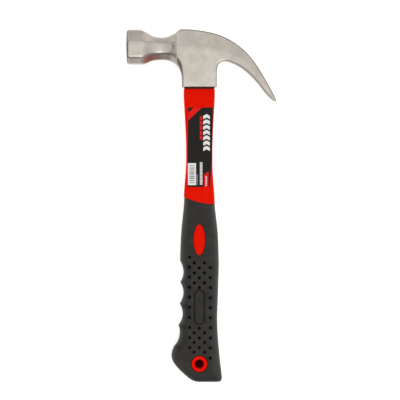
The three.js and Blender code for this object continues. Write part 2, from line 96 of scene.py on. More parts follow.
def lineThrough(knots):
    # a natural cubic spline, level with its end values outside them
    place, value = np.array(knots, float).T
    step = np.diff(place)
    count = len(place)
    system = np.eye(count)
    pull = np.zeros(count)
    for i in range(1, count - 1):
        system[i, i - 1:i + 2] = step[i - 1], 2 * (step[i - 1] + step[i]), step[i]
        pull[i] = 6 * ((value[i + 1] - value[i]) / step[i] - (value[i] - value[i - 1]) / step[i - 1])
    bend = np.linalg.solve(system, pull)

    def read(at):
        at = np.clip(at, place[0], place[-1])
        i = np.clip(np.searchsorted(place, at, side="right") - 1, 0, count - 2)
        a = (place[i + 1] - at) / step[i]
        b = 1 - a
        curve = ((a ** 3 - a) * bend[i] + (b ** 3 - b) * bend[i + 1]) * step[i] ** 2 / 6
        return a * value[i] + b * value[i + 1] + curve

    return read


def upright(line, at, scale=1):
    # how much a distance measured straight across a sloping line shrinks when measured square to it
    span = 0.05
    slope = (line(at + span) - line(at - span)) / (2 * span) * scale
    return 1 / np.sqrt(1 + slope * slope)


def roundedBox(across, deep, halfAcross, halfDeep, corner):
    a = np.abs(across) - (halfAcross - corner)
    b = np.abs(deep) - (halfDeep - corner)
    return np.hypot(np.maximum(a, 0), np.maximum(b, 0)) + np.minimum(np.maximum(a, b), 0) - corner


def makeObject(name, points, faces):
    mesh = bpy.data.meshes.new(name)
    mesh.from_pydata(placed(points).tolist(), [], [list(face) for face in faces])
    mesh.validate()
    mesh.polygons.foreach_set("use_smooth", [True] * len(mesh.polygons))
    mesh.update()
    made = bpy.data.objects.new(name, mesh)
    bpy.context.scene.collection.objects.link(made)
    return made


# A skin of quads over the zero surface of a field, drawn tight onto it.
def skinOf(field, low, high, step):
    axes = [np.arange(low[i] - step, high[i] + 2 * step, step) for i in range(3)]
    shape = tuple(len(axis) for axis in axes)
    grid = field(axes[0][:, None, None], axes[1][None, :, None], axes[2][None, None, :])
    value = np.broadcast_to(grid, shape).astype(np.float32)
    inside = value < 0
    count = np.zeros([n - 1 for n in shape], np.int8)
    for i in (0, 1):
        for j in (0, 1):
            for k in (0, 1):
                count += inside[i:shape[0] - 1 + i, j:shape[1] - 1 + j, k:shape[2] - 1 + k]
    cells = np.argwhere((count > 0) & (count < 8))
    number = np.full(count.shape, -1, np.int32)
    number[tuple(cells.T)] = np.arange(len(cells))
    total = np.zeros((len(cells), 3))
    hits = np.zeros(len(cells))
    for axis in range(3):
        side, other = (axis + 1) % 3, (axis + 2) % 3
        for i in (0, 1):
            for j in (0, 1):
                start = cells.copy()
                start[:, side] += i
                start[:, other] += j
                end = start.copy()
                end[:, axis] += 1
                a, b = value[tuple(start.T)], value[tuple(end.T)]
                crossed = (a < 0) != (b < 0)
                point = start[crossed].astype(float)
                point[:, axis] += a[crossed] / (a[crossed] - b[crossed])
                total[crossed] += point
                hits[crossed] += 1
    points = total / hits[:, None] * step + [axis[0] for axis in axes]
    quads = []
    for axis in range(3):
        side, other = (axis + 1) % 3, (axis + 2) % 3
        cut = [slice(1, -1)] * 3
        cut[axis] = slice(0, -1)
        first = inside[tuple(cut)]
        cut[axis] = slice(1, None)
        edges = np.argwhere(first != inside[tuple(cut)])
        leaving = first[tuple(edges.T)]
        edges[:, side] += 1
        edges[:, other] += 1
        ring = []
        for i, j in ((1, 1), (0, 1), (0, 0), (1, 0)):
            cell = edges.copy()
            cell[:, side] -= i
            cell[:, other] -= j
            ring.append(number[tuple(cell.T)])
        ring = np.stack(ring, 1)
        ring[~leaving] = ring[~leaving][:, ::-1]
        quads.append(ring)
    quads = np.concatenate(quads)
    starts = quads.ravel()
    ends = np.roll(quads, -1, 1).ravel()
    degree = np.bincount(starts, minlength=len(points)) + np.bincount(ends, minlength=len(points))
    rounds = 4
    for turn in range(rounds):
        if turn < rounds - 1:
            for i in range(3):
                near = np.bincount(starts, points[ends, i], len(points))
                near += np.bincount(ends, points[starts, i], len(points))
                points[:, i] += 0.5 * (near / degree - points[:, i])
        points = drawnOn(field, points, step)
        points = drawnOn(field, points, step)
    return points, quads


def drawnOn(field, points, step):
    # one Newton step towards the field's zero surface
    tiny = 0.01
    value = field(*points.T)
    slope = np.empty_like(points)
    for i in range(3):
        nudge = np.zeros(3)
        nudge[i] = tiny
        slope[:, i] = (field(*(points + nudge).T) - field(*(points - nudge).T)) / (2 * tiny)
    move = value[:, None] * slope / np.maximum((slope * slope).sum(1), 0.04)[:, None]
    far = np.linalg.norm(move, axis=1, keepdims=True)
    return points - move * np.minimum(1, step * 0.5 / np.maximum(far, 1e-9))


# A closed skin through rings of equal point count, with fans at both ends.
def loft(name, rings):
    rings = [np.asarray(ring, float) for ring in rings]
    size = len(rings[0])
    points = np.concatenate(rings + [[rings[0].mean(0)], [rings[-1].mean(0)]])
    last = (len(rings) - 1) * size
    faces = []
    for level in range(len(rings) - 1):
        for i in range(size):
            j = (i + 1) % size
            here, above = level * size, (level + 1) * size
            faces.append((here + i, here + j, above + j, above + i))
    for i in range(size):
        j = (i + 1) % size
        faces.append((len(points) - 2, j, i))
        faces.append((len(points) - 1, last + i, last + j))
    return makeObject(name, points, faces)


def cutAway(piece, tool):
    change = piece.modifiers.new("cut", "BOOLEAN")
    change.operation = "DIFFERENCE"
    change.solver = "EXACT"
    change.object = tool
    depsgraph = bpy.context.evaluated_depsgraph_get()
    result = bpy.data.meshes.new_from_object(piece.evaluated_get(depsgraph))
    piece.modifiers.clear()
    piece.data = result
    bpy.data.objects.remove(tool)
    piece.data.set_sharp_from_angle(angle=math.radians(40))


def ringAt(y, halfAcross, halfDeep, corner, steps=8, flat=6):
    # a rounded rectangle across the handle, clockwise seen from the head
    ring = []
    for quarter in range(4):
        cx = (halfAcross - corner) * (1 if quarter < 2 else -1)
        cz = (halfDeep - corner) * (1 if quarter % 3 == 0 else -1)
        arc = []
        for i in range(steps + 1):
            angle = (quarter + i / steps) * math.pi / 2
            arc.append((cx + corner * math.sin(angle), y, cz + corner * math.cos(angle)))
        if ring:
            ring += between(ring[-1], arc[0], flat)
        ring += arc
    return np.array(ring + between(ring[-1], ring[0], flat))


def between(a, b, count):
    a, b = np.array(a), np.array(b)
    return [tuple(a + (b - a) * i / count) for i in range(1, count)]


class Link:
    # an output socket that can be used in sums like a number
    def __init__(self, finish, socket):
        self.finish = finish
        self.socket = socket

    def __add__(self, other):
        return self.finish.maths("ADD", self, other)

    def __sub__(self, other):
        return self.finish.maths("SUBTRACT", self, other)

    def __rsub__(self, other):
        return self.finish.maths("SUBTRACT", other, self)

    def __mul__(self, other):
        return self.finish.maths("MULTIPLY", self, other)

    def __gt__(self, other):
        return self.finish.maths("GREATER_THAN", self, other)

    def __lt__(self, other):
        return self.finish.maths("LESS_THAN", self, other)

    __radd__ = __add__
    __rmul__ = __mul__


class Nodes:
    def __init__(self, tree):
        self.tree = tree

    def node(self, kind, settings=None, inputs=None, output=0):
        made = self.tree.nodes.new(kind)
        for key, value in (settings or {}).items():
            if key == "stops":
                self.setStops(made.color_ramp, value)
            else:
                setattr(made, key, value)
        for key, value in (inputs or {}).items():
            self.plug(made.inputs[key], value)
        return Link(self, made.outputs[output])

    def setStops(self, ramp, stops):
        while len(ramp.elements) < len(stops):
            ramp.elements.new(1)
        for element, (place, value) in zip(ramp.elements, stops):
            element.position = place
            element.color = (*value, 1) if isinstance(value, tuple) else (value, value, value, 1)

    def plug(self, socket, value):
        if isinstance(value, Link):
            self.tree.links.new(value.socket, socket)
        elif isinstance(value, tuple) and len(value) == 3 and socket.type == "RGBA":
            socket.default_value = (*value, 1)
        else:
            socket.default_value = value

    def maths(self, operation, *values):
        return self.node("ShaderNodeMath", {"operation": operation}, dict(enumerate(values)))


class Finish(Nodes):
    def __init__(self, name, **constants):
        self.material = bpy.data.materials.new(name)
        self.material.use_nodes = True
        super().__init__(self.material.node_tree)
        self.shader = self.tree.nodes["Principled BSDF"]
        self.feed(**constants)

    def feed(self, **values):
        for name, value in values.items():
            spaced = "".join(" " + c if c.isupper() else c for c in name)
            self.plug(self.shader.inputs[(spaced[0].upper() + spaced[1:]).replace("I O R", "IOR")], value)

    def place(self, scale=(1, 1, 1)):
        # the point on the piece in millimetres, stretched by scale
        where = self.node("ShaderNodeTexCoord", output=3)
        size = tuple(s / mm for s in scale)
        return self.node("ShaderNodeVectorMath", {"operation": "MULTIPLY"}, {0: where, 1: size})

    def axes(self):
        parts = self.node("ShaderNodeSeparateXYZ", inputs={0: self.place()})
        return [Link(self, parts.socket.node.outputs[i]) for i in range(3)]

    def noise(self, scale, detail=3, roughness=0.5, stretch=(1, 1, 1)):
        inputs = {"Vector": self.place(stretch), "Scale": scale, "Detail": detail, "Roughness": roughness}
        return self.node("ShaderNodeTexNoise", inputs=inputs)

    def blend(self, share, a, b):
        inputs = {0: share, 6: a, 7: b}
        return self.node("ShaderNodeMix", {"data_type": "RGBA"}, inputs, output=2)

    def between(self, value, low, high):
        return self.node("ShaderNodeMapRange", inputs={0: value, 3: low, 4: high})

    def bump(self, height, distance, strength=1.0, below=None):
        inputs = {"Height": height, "Distance": distance * mm, "Strength": strength}
        if below is not None:
            inputs["Normal"] = below
        return self.node("ShaderNodeBump", inputs=inputs)


steelLook = {
    "base": (0.575, 0.535, 0.48),
    "shade": (0.46, 0.42, 0.365),
    # the colour of the painted shade on the forging's edges, under its neck and on its upper cheek, and of
    # the darkening towards the claw
    "edge": (0.17, 0.15, 0.13),
    "roughness": (0.27, 0.40),
    "bump": 0.02,
}


def brushedSteel():
    finish = Finish("brushedSteel", metallic=1.0)
    cloud = finish.noise(0.12, 4)
    brush = finish.noise(1.0, 3, 0.6, (0.35, 5.0, 3.0))
    grain = finish.noise(5.0, 2)
    streak = cloud * 0.6 + brush * 0.4
    ground = finish.blend(finish.between(streak, -1.4, 2.4), steelLook["base"], steelLook["shade"])
    # painted shade: an attribute made below darkens the slanted edges, the neck's underside, the striking
    # face's bevel and the upper cheek towards the edge colour, and the claw towards its tip
    edgeTone = finish.node("ShaderNodeAttribute", {"attribute_name": "edgeTone"}, output=2)
    finish.feed(baseColor=finish.blend(edgeTone, ground, steelLook["edge"]))
    finish.feed(roughness=finish.between(brush * 0.6 + grain * 0.4, *steelLook["roughness"]))
    low = finish.bump(brush, steelLook["bump"], 0.6)
    finish.feed(normal=finish.bump(grain, steelLook["bump"], 0.35, low))
    return finish.material


redLook = {
    "base": (0.82, 0.0030, 0.0004),
    "worn": (0.86, 0.012, 0.002),
    "roughness": (0.30, 0.42),
}


def redPlastic():
    finish = Finish("redPlastic", specularIORLevel=0.25, specularTint=(1.0, 0.12, 0.05))
    cloud = finish.noise(0.15, 4)
    grain = finish.noise(2.5, 3)
    worn = finish.between(cloud * 0.7 + grain * 0.3, -0.5, 1.3)
    finish.feed(baseColor=finish.blend(worn, redLook["base"], redLook["worn"]))
    finish.feed(roughness=finish.between(cloud, *redLook["roughness"]))
    finish.feed(normal=finish.bump(grain, 0.03, 0.25))
    return finish.material


rubberLook = {
    "base": (0.0110, 0.0094, 0.0070),
    "dusty": (0.0310, 0.0282, 0.0240),
    # the lighter colour of the painted sheen on the grip's sides
    "rubbed": (0.056, 0.052, 0.046),
    # the dark colour of the painted shade in holes, grooves and dents
    "hollow": (0.0015, 0.0015, 0.0012),
    "roughness": (0.52, 0.68),
    "grain": 0.05,
}


def blackRubber():
    finish = Finish("blackRubber", specularIORLevel=0.3)
    cloud = finish.noise(0.10, 4)
    grain = finish.noise(2.2, 4, 0.6)
    dust = finish.between(cloud * 0.5 + grain * 0.5, -1.1, 2.0)
    mottled = finish.blend(dust, rubberLook["base"], rubberLook["dusty"])
    rubbed = finish.node("ShaderNodeAttribute", {"attribute_name": "rubbed"}, output=2)
    recess = finish.node("ShaderNodeAttribute", {"attribute_name": "recess"}, output=2)
    # painted sheen: the grip's sides are lighter, by an attribute made in markGrip and varied by noise
    face = finish.blend(rubbed * (cloud * 0.5 + 0.45), mottled, rubberLook["rubbed"])
    # painted shade: holes, the track groove and the dents beside the ridges are darkened by an attribute
    # made in markGrip
    finish.feed(baseColor=finish.blend(recess, face, rubberLook["hollow"]))
    finish.feed(roughness=finish.between(grain, *rubberLook["roughness"]))
    finish.feed(normal=finish.bump(grain, rubberLook["grain"], 0.5))
    return finish.material


def plainFinish(name, base, shade, roughness, scale):
    finish = Finish(name, specularIORLevel=0.3)
    mottle = finish.noise(scale, 4)
    finish.feed(baseColor=finish.blend(finish.between(mottle, -0.5, 1.5), base, shade))
    finish.feed(roughness=finish.between(mottle, roughness - 0.08, roughness + 0.08))
    finish.feed(normal=finish.bump(mottle, 0.04, 0.4))
    return finish.material


def wear(piece, material):
    piece.data.materials.clear()
    piece.data.materials.append(material)


def settle(piece, slotName, material, *nodes):
    wear(piece, material)
    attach(piece, "root")
    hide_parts(*nodes)
    print("made", piece.name, len(piece.data.polygons), "faces")


steel = brushedSteel()
red = redPlastic()
rubber = blackRubber()

# Lines are pairs of place and value. The claw's are in degrees round its bend and distance from the
# bend's centre, and the neck's are distance from the handle's axis and drop below the crest or half depth.
headSize = {
    "bendCentre": 75.0,  # crest down to the point that the claw curves round
    "clawBack": [(-18, 78.6), (-6, 75.4), (5, 73.4), (16, 72.2), (28, 70.5), (40, 68.7), (52, 67.1),
                 (60, 66.7), (68, 67.4), (76, 69.1), (84, 71.3)],
    "clawFront": [(8, 49.5), (30, 53.1), (45, 55.9), (60, 58.6), (68, 60.7), (74, 62.9), (78, 65.4),
                  (80, 67.3), (82, 69.7), (84, 71.6)],
    "crease": [(-22, 62.8), (-8, 59.6), (8, 58.2), (20, 58.6), (30, 59.3), (42, 60.9), (52, 62.2),
               (64, 66.0), (76, 70.0)],
    "neckTop": [(-55, -1.9), (-49.8, 1.3), (-46.1, 3.3), (-42.5, 5.3), (-38.9, 6.5), (-35.2, 6.9),
                (-31.6, 6.7), (-28, 5.8), (-24.3, 4.1), (-20.7, 2.0), (-17, 0.3), (-12, 0.0)],
    "neckUnder": [(-55, 35.2), (-50, 32.0), (-46.1, 29.8), (-42.5, 28.4), (-38.9, 27.75), (-35.2, 27.5),
                  (-18, 27.5)],
    "neckSide": [(-55, 17.6), (-50, 15.1), (-46, 13.2), (-42, 11.6), (-38, 10.6), (-34.5, 10.2), (-30, 10.5),
                 (-26, 11.3), (-23, 12.5), (-20, 13.3), (-18, 13.38), (-15, 12.9), (-12, 12.0)],
    "neckEnd": -12.0,
    "upperEdge": [(-67, 11.8), (-50, 11.8), (-42, 12.7), (-19, 13.1)],
    "upperSlope": 0.78,
    "underChamfer": 6.2,
    "underBend": (-34.0, 46.0),  # the lower chamfer narrows round this point, x and drop
    "underTurn": 80,
    "pollTop": -0.2,
    "pollUnder": 31.6,
    "pollSide": 15.75,
    "faceDome": 240.0,
    "faceSlope": (0.6, 0.8),
    "faceBevel": 1.5,
    "cheekSide": 13.4,
    "cheekWall": -20.8,
    "cheekCorner": -17.8,
    "cornerSlope": (0.6, 0.8),
    "crestLean": 0.19,
    "clawSide": 15.75,
    "clawSpread": (17, 52),
    "bevelSlope": (0.64, 0.77),
    "crestBevel": 0.55,
    "clawBevel": 0.45,
    "rimBevel": 0.4,
    "socketSide": 15.85,
    "socketDrop": 52.4,
    "socketEdge": 1.2,
    "bandTall": 3.6,
    "bandLean": 0.03,
    "flankFillet": 19.0,
    "rootFillet": 12.0,
    "tipDrop": 65.4,
    "tipSlope": (0.33, 0.94),
    "slotEnd": (22.3, 16.3),
    "slotLength": 46.0,
    "slotMouth": 4.7,
    "slotRoot": 1.3,
    "eyeGap": 0.2,
    "eyeCorner": 6.7,
    "notch": (-24.6, 15.6),
    "notchDeep": 0.5,
    "notchSpread": 2.6,
    "beyond": 60.0,  # lifts a plane clear of the parts that it doesn't cut
    "neckRound": 1.5,
    "pollRound": 1.4,
    "faceRound": 0.8,
    "joinRound": 1.0,
    "edgeRound": 0.9,
    "crispRound": 0.5,
    "bevelRound": 0.3,
    "holeRound": 0.7,
    "grid": 0.5,
}


def clawHeadField():
    size = headSize
    back, front, crease = (lineThrough(size[key]) for key in ("clawBack", "clawFront", "crease"))
    neckTop, neckUnder, neckSide, upperEdge = (
        lineThrough(size[key]) for key in ("neckTop", "neckUnder", "neckSide", "upperEdge"))
    eyeWide, _, eyeDeep = nodeSize("eye_resin")
    clawTip = np.array([tipReach, size["tipDrop"]])
    slotAlong = np.array(size["slotEnd"]) - clawTip
    slotAlong = slotAlong / np.linalg.norm(slotAlong)
    diagonal = math.sqrt(2)
    middle = (size["pollTop"] + size["pollUnder"]) / 2

    def top(x):
        return smoothMax(size["pollTop"], neckTop(x), size["neckRound"])

    def under(x):
        return smoothMin(size["pollUnder"], neckUnder(x), size["neckRound"])

    def side(x):
        return smoothMin(size["pollSide"], neckSide(x), size["neckRound"])

    def bevelled(edge, flat, cut, blend):
        outward, upward = size["bevelSlope"]
        return smoothMax(edge, upward * flat + outward * edge + cut, blend)

    def field(x, y, z):
        drop = toolLength - y
        deep = np.abs(z)
        turn = np.degrees(np.arctan2(x, size["bendCentre"] - drop))
        reach = np.hypot(x, size["bendCentre"] - drop)
        perTurn = 180 / math.pi / np.maximum(reach, 10)
        backEdge = (reach - back(turn)) * upright(back, turn, perTurn)
        frontEdge = (front(turn) - reach) * upright(front, turn, perTurn)
        # lower edges: the poll and neck run round into the socket's side, and the socket into the claw
        underNeck = (drop - under(x)) * upright(under, x)
        leftLow = smoothMin(underNeck, -size["socketSide"] - x, size["flankFillet"])
        rightLow = smoothMin(frontEdge, x - size["socketSide"], size["rootFillet"])
        rim = drop - size["socketDrop"] - size["beyond"] * ease(x, 18, 34)
        bendX, bendDrop = size["underBend"]
        bendTurn = np.degrees(np.arctan2(x - bendX, bendDrop - drop))
        chamfer = mixed(size["underChamfer"], size["socketEdge"], ease(bendTurn, 0, size["underTurn"]))
        # poll and neck, with a slightly domed striking face and a bevel round it
        half = side(x)
        slope = size["upperSlope"]
        upper = (deep - half + slope * (upperEdge(x) - drop)) / math.hypot(1, slope)
        lowerLeft = smoothMax(leftLow, (deep - half + leftLow + chamfer) / diagonal, size["edgeRound"])
        flats = allOf([deep - half, upper, (top(x) - drop) * upright(top, x), lowerLeft], size["pollRound"])
        face = -strikeReach - x + (np.square(drop - middle) + np.square(deep)) / size["faceDome"]
        outward, upward = size["faceSlope"]
        bevel = outward * (-strikeReach - x) + upward * flats + size["faceBevel"]
        neck = allOf([flats, face, bevel], size["faceRound"])
        neck = allOf([neck, x - size["neckEnd"], rim], size["joinRound"])
        # cheek, socket and claw
        wide = mixed(size["cheekSide"], size["clawSide"], ease(x, *size["clawSpread"]))
        lean = size["crestLean"]
        leaning = (deep - wide + lean * (reach - crease(turn))) / math.hypot(1, lean)
        cheekFlats = smoothMax(deep - wide, leaning, 0.7)
        lowRight = bevelled(rightLow, deep - wide, size["clawBevel"], size["bevelRound"])
        lowRim = bevelled(rim, deep - wide, size["rimBevel"], 0.4)
        lowRim = smoothMax(lowRim, deep - wide + size["bandLean"] * (rim + size["bandTall"]), 0.1)
        crestEdge = bevelled(backEdge, cheekFlats, size["crestBevel"], size["bevelRound"])
        cheekLow = (deep - size["cheekSide"] + leftLow + chamfer) / diagonal
        cheekLeft = smoothMax(leftLow, cheekLow, size["edgeRound"])
        tipOut, tipDown = size["tipSlope"]
        tip = tipDown * (drop - clawTip[1]) - tipOut * (x - clawTip[0])
        tip = tip - size["beyond"] * (1 - ease(x, 24, 44))
        cornerOut, cornerUp = size["cornerSlope"]
        corner = cornerOut * (size["cheekCorner"] - x) - cornerUp * drop
        cheekFront = smoothMax(size["cheekWall"] - x, corner, 0.5)
        cheekParts = [cheekFlats, crestEdge, cheekFront, cheekLeft, lowRight, lowRim, tip]
        cheek = allOf(cheekParts, size["crispRound"])
        head = smoothMin(neck, cheek, mixed(size["joinRound"], 0.04, ease(x, -23, -19.5)))
        notchX, notchDrop = size["notch"]
        notch = np.square(x - notchX) + np.square(drop - notchDrop)
        head = head + size["notchDeep"] * np.exp(-notch / size["notchSpread"]) * ease(deep, 4, 9)
        # eye and nail slot
        eye = roundedBox(x, z, eyeWide / 2 + size["eyeGap"], eyeDeep / 2 + size["eyeGap"], size["eyeCorner"])
        along = (x - clawTip[0]) * slotAlong[0] + (drop - clawTip[1]) * slotAlong[1]
        slotHalf = mixed(size["slotMouth"], size["slotRoot"], along / size["slotLength"])
        past = np.maximum(along - size["slotLength"], 0)
        slot = np.where(past > 0, np.hypot(past, deep) - size["slotRoot"], deep - slotHalf)
        return smoothMax(smoothMax(head, -eye, size["holeRound"]), -slot, size["holeRound"])

    return field


headFoot = nodeSpan("claw_head", 1)[0]
headPoints, headFaces = skinOf(
    clawHeadField(), (-strikeReach, headFoot, -16), (tipReach, toolLength + 0.2, 16), headSize["grid"])
clawHead = makeObject("clawHead", headPoints, headFaces)

# How dark each part of the forging is painted: painted shade on its slanted edges, the neck's underside and
# the striking face's bevel, a little painted shade on the upper cheek beyond the crest's crease, and darker
# towards the claw.
paintedShadeLook = {"edge": 0.75, "underNeck": 0.55, "strike": 0.95, "crest": 0.11, "claw": 0.12}


def pointArray(collection, name):
    values = np.empty(len(collection) * 3, np.float32)
    collection.foreach_get(name, values)
    return values.reshape(-1, 3)


def markPoints(piece, name, values):
    layer = piece.data.attributes.new(name, "FLOAT", "POINT")
    layer.data.foreach_set("value", values.astype(np.float32))


def paintEdgeShade(piece):
    x, y, _ = ((pointArray(piece.data.vertices, "co") - origin) / mm).T
    sideways, along, up = pointArray(piece.data.vertex_normals, "vector").T
    up = np.abs(up)
    fromBend = headSize["bendCentre"] - (toolLength - y)
    crease = lineThrough(headSize["crease"])(np.degrees(np.arctan2(x, fromBend)))
    # painted shade on slanted faces: the cheek's and claw's bevels, the neck's underside and the striking
    # face's bevel; then a little painted shade beyond the crease, and darker towards the claw tip
    slanted = ease(up, 0.25, 0.5) * (1 - ease(up, 0.86, 0.95))
    onCheek = ease(x, -20, -17)
    underNeck = paintedShadeLook["underNeck"] * ease(-along, 0.25, 0.6) * (1 - onCheek) * ease(x, -52, -47)
    strikeEdge = paintedShadeLook["strike"] * ease(-sideways, 0.3, 0.55) * (x < -60)
    paintedShade = slanted * np.maximum(np.maximum(paintedShadeLook["edge"] * onCheek, underNeck), strikeEdge)
    crest = paintedShadeLook["crest"] * ease(np.hypot(x, fromBend) - crease, -0.4, 1.0) * onCheek
    markPoints(piece, "edgeTone", np.maximum(paintedShade, crest + paintedShadeLook["claw"] * ease(x, 12, 60)))


paintEdgeShade(clawHead)
settle(clawHead, "forged_steel", steel, "claw_head")

# Lines are pairs of height above the butt and distance from the handle's axis or half depth.
gripSize = {
    "palm": [(-6, 20.6), (7, 20.3), (14.4, 19.4), (29, 17.9), (43.4, 16.8), (56, 16.3), (74, 16.8),
             (91, 17.3), (109, 17.75), (119, 17.5), (135.6, 16.8), (150, 15.2), (162, 14.1), (170, 14.0)],
    "finger": [(-5, 0.4), (1.2, 7.0), (8.4, 15.2), (15.7, 22.1), (19.5, 24.3), (25.3, 25.3), (30, 24.0),
               (34, 22.6), (42, 21.1), (49.5, 19.4), (69, 17.9), (89, 17.3), (110, 17.5), (120, 17.2),
               (135, 16.5), (150, 15.1), (163, 13.9), (170, 13.7)],
    "half": [(-6, 15.6), (16, 15.7), (32, 14.6), (61, 13.2), (110, 13.2), (136, 12.4), (156, 10.6),
             (162, 10.1), (172, 9.9)],
    "corner": 8.6,
    "buttEdge": 5.5,
    "buttSpan": (4, 34),  # heights between which the rounding grows from buttEdge to corner
    "buttCorner": 4.0,
    "grooves": [41.7, 61.2, 80.7, 100.2],
    "grooveHalf": 9.75,
    "grooveDepth": 3.0,
    "ridgeRound": 0.25,
    "edgeFoot": 161.4,
    "edgeRise": 6.6,
    "edgeWidth": 28.0,
    "edgeRound": 0.12,
    "hang": 16.4,
    "hangRadius": 7.5,
    "hangRound": 0.8,
    "oval": 129.0,
    "ovalGap": 0.15,
    "ovalDeep": 1.7,
    "track": 67.7,
    "trackHalf": (4.5, 15.4),
    "trackGroove": 0.75,
    "trackRound": 0.35,
    "holeRadius": 1.4,
    "holeDepth": 2.8,
    "holeTaper": 0.3,
    "stemHole": (11.0, 8.5, 6.5),  # half width, half depth and corner
    "stemGap": 0.2,
    "stemPast": 180,  # the hole's cutter ends above the grip here
    "grid": 0.54,
}
# dents beside the ridges between the fingers: x, y, half width, half height and depth
dentSpots = [(-13.0, 68.9, 2.4, 1.8, 0.5), (-15.2, 49.2, 3.0, 2.4, 0.7), (-18.6, 32.0, 2.6, 5.6, 1.0)]
# columns of small holes: x, height of the uppermost, pitch and count
holeColumns = [(-8.8, 113.2, 9.1, 10), (9.9, 103.8, 9.1, 10), (-4.6, 108.0, 9.0, 3), (4.6, 108.0, 9.0, 3),
               (0.0, 103.6, 9.0, 3), (0.0, 49.0, 8.8, 3), (-4.75, 44.6, 8.7, 3), (4.75, 44.6, 8.7, 3)]


def fromHoles(x, y):
    nearest = 1e9
    for holeX, top, pitch, count in holeColumns:
        for i in range(count):
            nearest = np.minimum(nearest, np.square(x - holeX) + np.square(y - (top - pitch * i)))
    return np.sqrt(nearest)


def fromTrack(x, y):
    # distance from the outline of a running track
    wide, tall = gripSize["trackHalf"]
    return np.abs(roundedBox(x, y - gripSize["track"], wide, tall, wide))


def dentShape(x, y, dent, fall):
    dentX, dentY, wide, tall, _ = dent
    return np.exp(-fall * (np.square((x - dentX) / wide) + np.square((y - dentY) / tall)))


def gripEdge(x):
    share = 0.5 - x / gripSize["edgeWidth"]
    return gripSize["edgeFoot"] + gripSize["edgeRise"] * share * share


def gripField():
    size = gripSize
    palm, finger, half = (lineThrough(size[key]) for key in ("palm", "finger", "half"))
    ovalWide, ovalLong, _ = nodeSize("oval_inlay_front")
    a, b = ovalWide / 2 + size["ovalGap"], ovalLong / 2 + size["ovalGap"]

    def field(x, y, z):
        deep = np.abs(z)
        depth = 0
        for groove in size["grooves"]:
            off = (y - groove) / size["grooveHalf"]
            depth = smoothMax(depth, size["grooveDepth"] * (1 - off * off), size["ridgeRound"])
        left, right, thick = finger(y) - depth, palm(y), half(y)
        middle, across = (right - left) / 2, (right + left) / 2
        slant = np.where(x < middle, upright(finger, y), 1.0)
        outline = smoothMax((np.abs(x - middle) - across) * slant, -y, size["buttCorner"])
        corner = mixed(size["buttEdge"], size["corner"], ease(y, *size["buttSpan"]))
        inward, outward = outline + corner, deep - (thick - corner)
        body = np.hypot(np.maximum(inward, 0), np.maximum(outward, 0)) - corner
        body = body + np.minimum(np.maximum(inward, outward), 0)
        body = smoothMax(body, y - gripEdge(x), size["edgeRound"])
        for dent in dentSpots:
            body = body + dent[4] * dentShape(x, y, dent, 1.5) * ease(deep, 2, 8)
        hang = np.hypot(x, y - size["hang"]) - size["hangRadius"]
        body = smoothMax(body, -hang, size["hangRound"])
        # oval pockets
        fromOval = y - size["oval"]
        ratio = np.hypot(x / a, fromOval / b)
        steep = np.maximum(np.hypot(x / a ** 2, fromOval / b ** 2), 1e-6)
        pocket = smoothMax(ratio * (ratio - 1) / steep, thick - size["ovalDeep"] - deep, 0.3)
        body = smoothMax(body, -pocket, 0.5)
        groove = np.hypot(fromTrack(x, y), deep - thick - 0.05) - size["trackGroove"]
        body = smoothMax(body, -groove, size["trackRound"])
        sunk = thick - deep
        hole = fromHoles(x, y) + size["holeTaper"] * sunk - size["holeRadius"]
        hole = smoothMax(hole, sunk - size["holeDepth"], 0.5)
        return smoothMax(body, -hole, 0.3)

    return field


gripPoints, gripFaces = skinOf(gripField(), (-26, 0, -16), (21, 169, 16), gripSize["grid"])
rubberGrip = makeObject("rubberGrip", gripPoints, gripFaces)
stemFoot = nodeSpan("handle_jacket", 1)[0]
stemEnds = (gripSize["stemPast"], stemFoot - gripSize["stemGap"])
stemRings = [ringAt(y, *gripSize["stemHole"]) for y in stemEnds]
cutAway(rubberGrip, loft("stemHole", stemRings))


def markGrip(piece):
    # the painted shade in holes, grooves and dents, by how deep a point lies in them, and the painted sheen
    # on the grip's sides, by how near a point is to them
    x, y, z = ((pointArray(piece.data.vertices, "co") - origin) / mm).T
    below = lineThrough(gripSize["half"])(y) - np.abs(z)
    # painted shade in the holes, the track groove and the dents
    hole = ease(below, 0.05, 0.5) * (fromHoles(x, y) < 2.2)
    groove = ease(below, 0.1, 0.5) * (fromTrack(x, y) < 1.2)
    recess = np.maximum(hole, groove * 0.8)
    for dent in dentSpots:
        recess = np.maximum(recess, 0.8 * dentShape(x, y, dent, 1.2) * (np.abs(z) > 8))
    # painted sheen: lighter towards the grip's sides
    left, right = lineThrough(gripSize["finger"])(y), lineThrough(gripSize["palm"])(y)
    share = np.abs(x - (right - left) / 2) / ((right + left) / 2)
    markPoints(piece, "recess", recess)
    markPoints(piece, "rubbed", ease(share, 0.5, 1.0))


markGrip(rubberGrip)
settle(rubberGrip, "grip_rubber", rubber, "rubber_grip")

# The jacket is the sleeve under the head and the stem inside the grip.
sleeveSize = {
    "half": [(150, 14.2), (165, 14.0), (180, 13.0), (196, 12.1), (205, 12.0), (216, 12.1), (235, 12.9),
             (251, 13.8), (258, 14.15), (262, 14.2), (270, 14.2)],
    "lip": 0.7,
    "lipSteps": 5,
    "lipCorner": 0.4,  # share of the lip's inset that its corners lose
    "corner": 2.6,
    "edgeGap": -0.04,  # slight overlap with the grip, so that no light shows through the joint
    "rows": 60,
    "stem": (10.8, 8.3, 6.3),  # half width, half depth and corner
    "coreGap": 0.2,
    "boreCorner": 4.7,
    "hangRadius": 7.45,
}


def lathe(name, profile, height, count):
    # a profile of radius and z turned round an axis along z
    angles = np.arange(count) / count * 2 * math.pi
    rings = []
    for radius, z in profile:
        radius = max(radius, 1e-4)
        across, along = radius * np.cos(angles), height + radius * np.sin(angles)
        rings.append(np.stack([across, along, np.full(count, z)], 1))
    return loft(name, rings)


